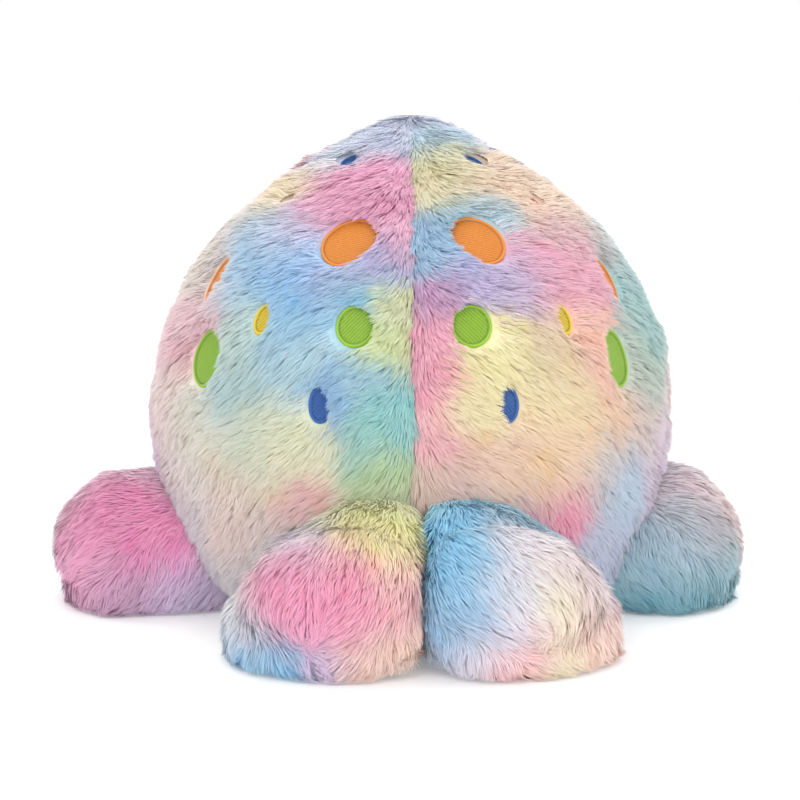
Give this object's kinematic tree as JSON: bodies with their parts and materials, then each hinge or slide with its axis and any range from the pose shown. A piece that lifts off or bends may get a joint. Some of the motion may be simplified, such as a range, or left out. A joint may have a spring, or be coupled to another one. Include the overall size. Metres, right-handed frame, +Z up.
{
  "type": "plush octopus",
  "caption": "Long-pile pastel tie-dye plush octopus with embroidered spots and stubby stuffed arms that lift and spring back.",
  "frame": {"origin": "middle of the toy's footprint on the floor", "axes": "+Z up, +Y towards the face, +X towards the toy's right side"},
  "size_m": [0.3928, 0.4042, 0.282],
  "materials": {
    "plush": "matte",
    "stuffing": "matte",
    "thread_orange": "satin",
    "thread_green": "satin",
    "thread_yellow": "satin",
    "thread_blue": "satin",
    "thread_red": "satin",
    "thread_dark": "satin",
    "eye": "gloss",
    "washer": "matte"
  },
  "bodies": {
    "body": {"base_panel": "plush", "gore_rear_left": "plush", "gore_rear_right": "plush", "gore_front_left": "plush", "gore_front_right": "plush", "stuffing_core": "stuffing", "spot_blue_top_left": "thread_blue", "spot_orange_large_left": "thread_orange", "spot_red_small_left": "thread_red", "spot_orange_small_left": "thread_orange", "spot_yellow_left": "thread_yellow", "spot_green_side_left": "thread_green", "spot_green_round_left": "thread_green", "spot_blue_low_left": "thread_blue", "spot_blue_top_right": "thread_blue", "spot_orange_large_right": "thread_orange", "spot_red_small_right": "thread_red", "spot_orange_small_right": "thread_orange", "spot_yellow_right": "thread_yellow", "spot_green_side_right": "thread_green", "spot_green_round_right": "thread_green", "spot_blue_low_right": "thread_blue", "smile_stitching": "thread_dark", "eye_left": "eye", "eye_right": "eye", "eye_washer_left": "washer", "eye_washer_right": "washer"},
    "arm_back_left": {"arm_back_left_top": "plush", "arm_back_left_bottom": "plush", "arm_back_left_stuffing": "stuffing"},
    "arm_back_right": {"arm_back_right_top": "plush", "arm_back_right_bottom": "plush", "arm_back_right_stuffing": "stuffing"},
    "arm_side_left": {"arm_side_left_top": "plush", "arm_side_left_bottom": "plush", "arm_side_left_stuffing": "stuffing"},
    "arm_side_right": {"arm_side_right_top": "plush", "arm_side_right_bottom": "plush", "arm_side_right_stuffing": "stuffing"},
    "arm_front_side_left": {"arm_front_side_left_top": "plush", "arm_front_side_left_bottom": "plush", "arm_front_side_left_stuffing": "stuffing"},
    "arm_front_side_right": {"arm_front_side_right_top": "plush", "arm_front_side_right_bottom": "plush", "arm_front_side_right_stuffing": "stuffing"},
    "arm_front_left": {"arm_front_left_top": "plush", "arm_front_left_bottom": "plush", "arm_front_left_stuffing": "stuffing"},
    "arm_front_right": {"arm_front_right_top": "plush", "arm_front_right_bottom": "plush", "arm_front_right_stuffing": "stuffing"}
  },
  "joints": [
    {"name": "lift_back_left", "type": "hinge", "parent": "body", "child": "arm_back_left", "pos_m": [-0.04075, -0.14695, 0.084], "axis": [-0.9636, 0.2672, 0], "range_deg": [0, 45], "stiffness_Nm_per_rad": 0.12},
    {"name": "lift_back_right", "type": "hinge", "parent": "body", "child": "arm_back_right", "pos_m": [0.04075, -0.14695, 0.084], "axis": [-0.9636, -0.2672, 0], "range_deg": [0, 45], "stiffness_Nm_per_rad": 0.12},
    {"name": "lift_side_left", "type": "hinge", "parent": "body", "child": "arm_side_left", "pos_m": [-0.14917, -0.03171, 0.084], "axis": [-0.2079, 0.9781, 0], "range_deg": [0, 45], "stiffness_Nm_per_rad": 0.12},
    {"name": "lift_side_right", "type": "hinge", "parent": "body", "child": "arm_side_right", "pos_m": [0.14917, -0.03171, 0.084], "axis": [-0.2079, -0.9781, 0], "range_deg": [0, 45], "stiffness_Nm_per_rad": 0.12},
    {"name": "lift_front_side_left", "type": "hinge", "parent": "body", "child": "arm_front_side_left", "pos_m": [-0.11509, 0.10005, 0.084], "axis": [0.6561, 0.7547, 0], "range_deg": [0, 45], "stiffness_Nm_per_rad": 0.12},
    {"name": "lift_front_side_right", "type": "hinge", "parent": "body", "child": "arm_front_side_right", "pos_m": [0.11509, 0.10005, 0.084], "axis": [0.6561, -0.7547, 0], "range_deg": [0, 45], "stiffness_Nm_per_rad": 0.12},
    {"name": "lift_front_left", "type": "hinge", "parent": "body", "child": "arm_front_left", "pos_m": [-0.04075, 0.14695, 0.084], "axis": [0.9636, 0.2672, 0], "range_deg": [0, 45], "stiffness_Nm_per_rad": 0.12},
    {"name": "lift_front_right", "type": "hinge", "parent": "body", "child": "arm_front_right", "pos_m": [0.04075, 0.14695, 0.084], "axis": [0.9636, -0.2672, 0], "range_deg": [0, 45], "stiffness_Nm_per_rad": 0.12}
  ]
}
